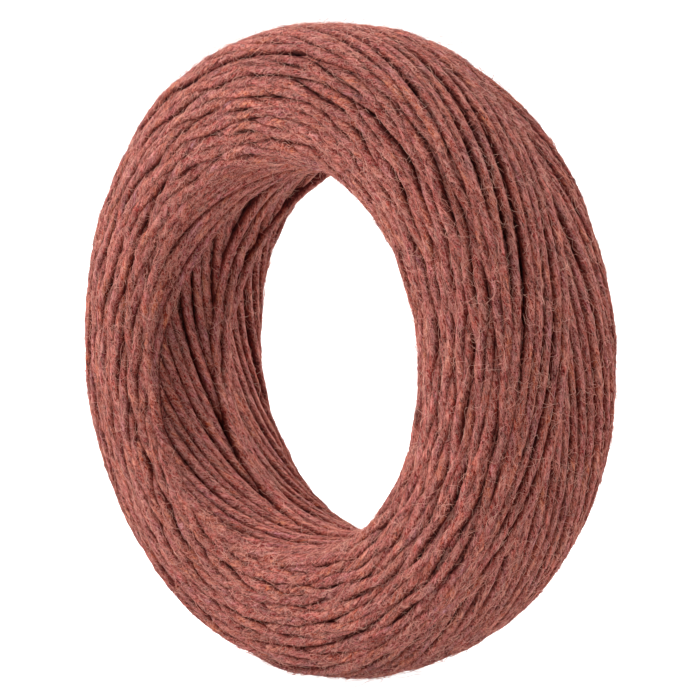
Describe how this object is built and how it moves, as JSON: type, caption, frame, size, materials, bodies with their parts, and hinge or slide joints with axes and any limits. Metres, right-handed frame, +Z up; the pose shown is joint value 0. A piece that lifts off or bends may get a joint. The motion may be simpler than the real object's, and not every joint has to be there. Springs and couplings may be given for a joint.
{
  "type": "coil of waxed linen cord",
  "caption": "Thin waxed linen cord cross-wound into a short open-centred ring, standing on its rim. A supply coil for hand sewing, leatherwork and beading.",
  "frame": {"origin": "on the floor, under the middle of the ring", "axes": "+Y along the axis of the ring, +X across it, +Z up; the ring stands on its rim"},
  "size_m": [0.053, 0.0148, 0.052],
  "materials": {
    "waxed_linen": "dull brick-red linen with a light bloom of wax and fine fibres"
  },
  "bodies": {
    "root": {"wound_cord": "waxed_linen"}
  },
  "joints": []
}
